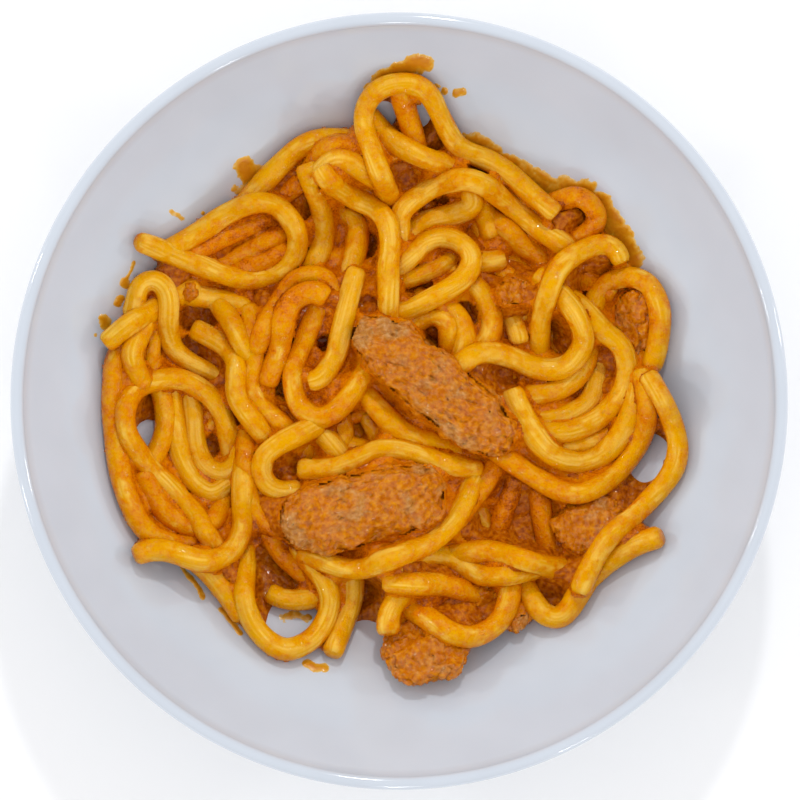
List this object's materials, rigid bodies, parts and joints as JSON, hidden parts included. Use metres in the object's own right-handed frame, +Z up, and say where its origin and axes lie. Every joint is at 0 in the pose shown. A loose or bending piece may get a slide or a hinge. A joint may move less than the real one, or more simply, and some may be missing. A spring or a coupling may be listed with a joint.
{
  "type": "bowl of noodles with sausage",
  "caption": "Round white coupe bowl with a foot ring, holding a tangled heap of thick sauced noodles and chunks of crumbly sausage.",
  "frame": {"origin": "middle of the bowl's foot, on the surface that the bowl stands on", "axes": "+Z up along the bowl's axis, +Y towards the far side of the bowl as it is served, +X to its right"},
  "size_m": [0.22, 0.22, 0.052],
  "materials": {
    "porcelain": "gloss",
    "noodles": "wet and sauced",
    "sausage": "moist and crumbly"
  },
  "bodies": {
    "root": {"bowl": "porcelain", "pasta": "noodles", "sausage_upper": "sausage", "sausage_lower": "sausage", "sausage_front": "sausage", "sausage_right": "sausage", "sausage_loop": "sausage", "sausage_crumb": "sausage", "sausage_low": "sausage", "sausage_end": "sausage"}
  },
  "joints": []
}
